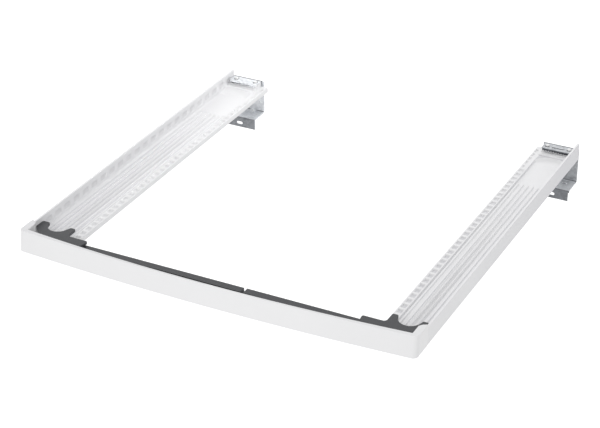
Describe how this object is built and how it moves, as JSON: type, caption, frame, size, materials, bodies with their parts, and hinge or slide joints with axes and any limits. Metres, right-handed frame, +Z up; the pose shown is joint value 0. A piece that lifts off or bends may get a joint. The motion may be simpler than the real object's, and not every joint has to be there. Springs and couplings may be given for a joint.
{
  "type": "washer dryer stacking kit",
  "caption": "Stacking frame with a bowed front bar, ribbed side rails, sliding foot guides and rear brackets, for standing a dryer on a washing machine.",
  "frame": {"origin": "on the washing machine's top plane, at the middle of the kit's width, in line with the bar's front bottom corners", "axes": "+X across the kit to its right-hand side as seen from the front, +Y from the front bar back along the rails, +Z up"},
  "size_m": [0.598, 0.6255, 0.0887],
  "materials": {
    "white_bar_plastic": "satin",
    "white_rail_plastic": "fine matte",
    "dark_grey_plastic": "fine matte",
    "zinc_coated_sheet": "galvanised",
    "zinc_coated_screw": "zinc coated",
    "white_rivet_plastic": "satin",
    "grey_grip_rubber": "matte"
  },
  "bodies": {
    "frame": {"front_bar": "white_bar_plastic", "left_rail": "white_rail_plastic", "right_rail": "white_rail_plastic", "left_bracket_rivet_inner": "white_rivet_plastic", "left_bracket_rivet_outer": "white_rivet_plastic", "right_bracket_rivet_inner": "white_rivet_plastic", "right_bracket_rivet_outer": "white_rivet_plastic", "left_bar_screw_front": "zinc_coated_screw", "left_bar_screw_rear": "zinc_coated_screw", "right_bar_screw_front": "zinc_coated_screw", "right_bar_screw_rear": "zinc_coated_screw", "left_grip_strip_front": "grey_grip_rubber", "left_grip_strip_rear": "grey_grip_rubber", "right_grip_strip_front": "grey_grip_rubber", "right_grip_strip_rear": "grey_grip_rubber"},
    "foot_guides": {"left_foot_guide": "dark_grey_plastic", "right_foot_guide": "dark_grey_plastic", "left_guide_screw_inner": "zinc_coated_screw", "left_guide_screw_outer": "zinc_coated_screw", "right_guide_screw_inner": "zinc_coated_screw", "right_guide_screw_outer": "zinc_coated_screw"},
    "left_rear_bracket_body": {"left_rear_bracket": "zinc_coated_sheet"},
    "right_rear_bracket_body": {"right_rear_bracket": "zinc_coated_sheet"}
  },
  "joints": [
    {"name": "foot_guide_slide", "type": "slide", "parent": "frame", "child": "foot_guides", "axis": [0, 1, 0], "range_m": [0, 0.006]},
    {"name": "left_bracket_slide", "type": "slide", "parent": "frame", "child": "left_rear_bracket_body", "axis": [0, 1, 0], "range_m": [-0.0025, 0.0025]},
    {"name": "right_bracket_slide", "type": "slide", "parent": "frame", "child": "right_rear_bracket_body", "axis": [0, 1, 0], "range_m": [-0.0025, 0.0025]}
  ]
}
